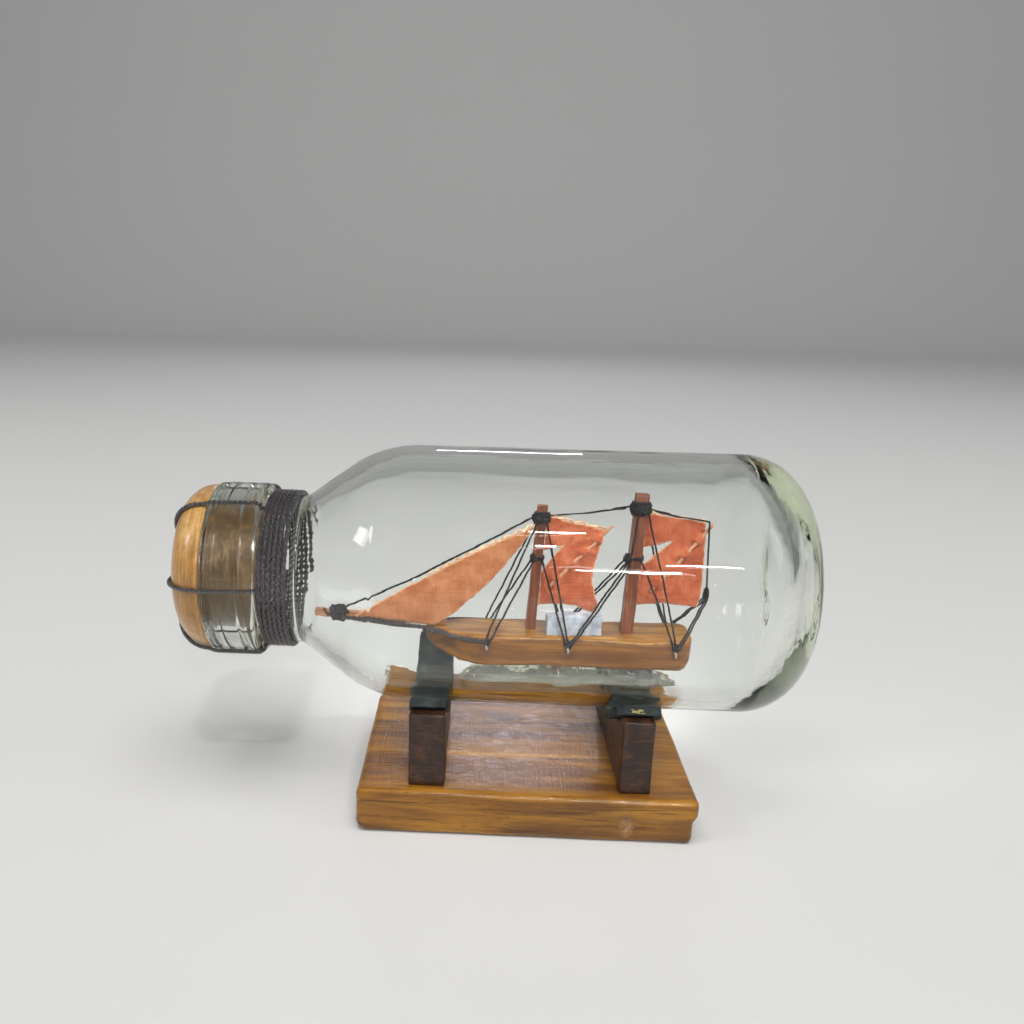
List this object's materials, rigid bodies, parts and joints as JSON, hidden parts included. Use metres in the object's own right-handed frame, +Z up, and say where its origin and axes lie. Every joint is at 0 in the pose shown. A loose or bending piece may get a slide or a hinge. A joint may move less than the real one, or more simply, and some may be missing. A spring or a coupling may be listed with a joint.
{
  "type": "ship in a bottle",
  "caption": "Small wooden sailing ship inside a clear corked bottle lying on a low wooden cradle stand.",
  "frame": {"origin": "centre of the stand plate's underside", "axes": "+Z up; +X along the bottle from its mouth to its base; -Y towards the side the ship shows with its bow to the left"},
  "size_m": [0.1305, 0.054, 0.0755],
  "materials": {
    "plate_wood": "glossy lacquered golden brown wood with dark grain",
    "block_wood": "dark brown wood, satin lacquer",
    "cradle_pad": "dark matte resilient strip",
    "nail_steel": "plain steel",
    "bottle_glass": "clear glass, faint green at the edges",
    "stopper_wood": "turned light wood, satin lacquer",
    "waxed_cord": "dark waxed braided cord",
    "clear_glue": "clear set glue",
    "hull_wood": "stained wood, lighter deck",
    "mast_wood": "reddish brown stained wood",
    "gaff_wood": "pale bare wood",
    "sail_cloth": "terracotta woven cloth with frayed pale edges",
    "house_paint": "pale blue-grey paint",
    "staple_wire": "silver wire",
    "rigging_thread": "black thread"
  },
  "bodies": {
    "stand": {"stand_plate": "plate_wood", "upright_left": "block_wood", "upright_right": "block_wood", "pad_left": "cradle_pad", "pad_right": "cradle_pad", "upright_nails": "nail_steel"},
    "bottle": {"bowsprit": "mast_wood", "bowsprit_lashing": "rigging_thread", "deckhouse": "house_paint", "fore_gaff": "gaff_wood", "fore_sail": "sail_cloth", "foremast": "mast_wood", "foremast_head_lashing": "rigging_thread", "foremast_mid_lashing": "rigging_thread", "foremast_shrouds_port": "rigging_thread", "foremast_shrouds_starboard": "rigging_thread", "forestay": "rigging_thread", "glass_bottle": "bottle_glass", "glue_bed": "clear_glue", "guy_cord_port": "waxed_cord", "guy_cord_starboard": "waxed_cord", "hull": "hull_wood", "jib_sail": "sail_cloth", "leech_line": "rigging_thread", "main_gaff": "gaff_wood", "main_sail": "sail_cloth", "mainmast": "mast_wood", "mainmast_head_lashing": "rigging_thread", "mainmast_mid_lashing": "rigging_thread", "mainmast_shrouds_port": "rigging_thread", "mainmast_shrouds_starboard": "rigging_thread", "masthead_stay": "rigging_thread", "neck_whipping": "waxed_cord", "peak_line": "rigging_thread", "quarter_knot": "rigging_thread", "quarter_lines_port": "rigging_thread", "quarter_lines_starboard": "rigging_thread", "rail_staples_port": "staple_wire", "rail_staples_starboard": "staple_wire", "stopper": "stopper_wood", "stopper_lashing": "waxed_cord", "waist_lines_port": "rigging_thread", "waist_lines_starboard": "rigging_thread"}
  },
  "joints": [
    {"name": "bottle_lift", "type": "slide", "parent": "stand", "child": "bottle", "axis": [0, 0, 1], "range_m": [0, 0.06]}
  ]
}
